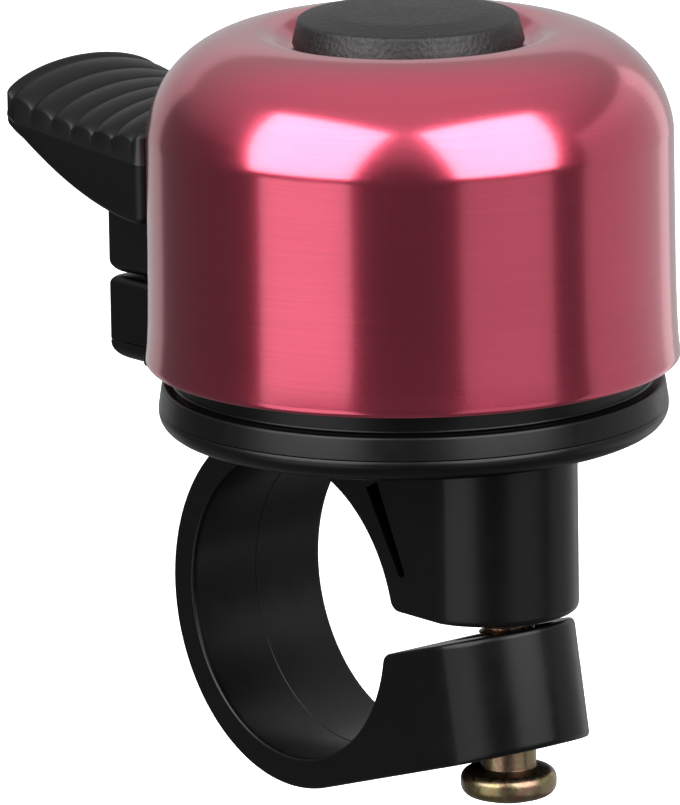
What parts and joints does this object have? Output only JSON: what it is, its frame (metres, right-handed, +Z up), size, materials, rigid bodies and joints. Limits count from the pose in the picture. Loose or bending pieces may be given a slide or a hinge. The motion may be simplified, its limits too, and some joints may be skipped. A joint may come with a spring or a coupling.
{
  "type": "bicycle bell",
  "caption": "Domed alloy bell on a moulded base with a spring-mounted thumb lever and striker, and a split handlebar clamp with a tightening screw.",
  "frame": {"origin": "centre of the handlebar bore, at the middle of the clamp's width", "axes": "+Y along the handlebar, +X from the bore towards the clamp screw, +Z up towards the dome"},
  "size_m": [0.0554, 0.0368, 0.0559],
  "materials": {
    "dome_alloy": "raspberry anodised, bright brushed",
    "black_plastic": "black, semi-gloss moulded",
    "cap_plastic": "black, leather-grained",
    "steel": "zinc-plated steel",
    "yellow_zinc": "yellow passivated zinc-plated steel",
    "brass": "turned brass",
    "spacer_alloy": "plain drawn tube",
    "rubber": "black rubber"
  },
  "bodies": {
    "bell_body": {"bell_dome": "dome_alloy", "dome_cap": "cap_plastic", "dome_screw": "steel", "dome_lock_washer": "steel", "dome_flat_washer": "steel", "dome_grommet": "rubber", "spacer_tube": "spacer_alloy", "post_insert": "brass", "base_tray": "black_plastic", "clamp_bracket": "black_plastic", "clamp_nut": "yellow_zinc", "striker_spring": "steel"},
    "lever": {"thumb_lever": "black_plastic", "hammer": "steel"},
    "jaw_arm": {"clamp_arm": "black_plastic"},
    "screw_feed": {"retaining_washer": "black_plastic"},
    "jaw_screw": {"clamp_screw": "yellow_zinc"}
  },
  "joints": [
    {"name": "lever_tilt", "type": "hinge", "parent": "bell_body", "child": "lever", "pos_m": [-0.022, 0, 0.02015], "axis": [0, -1, 0], "range_deg": [-2.5, 22], "stiffness_Nm_per_rad": 0.14, "deforming": ["striker_spring"]},
    {"name": "clamp_flex", "type": "hinge", "parent": "bell_body", "child": "jaw_arm", "pos_m": [-0.01218, 0, 0], "axis": [0, 1, 0], "range_deg": [0, 6]},
    {"name": "clamp_screw_feed", "type": "slide", "parent": "bell_body", "child": "screw_feed", "axis": [0, 0, -1], "range_m": [0, 0.003]},
    {"name": "clamp_screw_turn", "type": "hinge", "parent": "screw_feed", "child": "jaw_screw", "pos_m": [0.0164, 0, 0], "axis": [0, 0, -1], "range_deg": [0, 1543]}
  ],
  "couplings": [
    {"joint": "clamp_screw_turn", "follows": "clamp_screw_feed", "rad_per_m": 8975.9},
    {"joint": "clamp_flex", "follows": "clamp_screw_feed", "rad_per_m": 34.9}
  ]
}
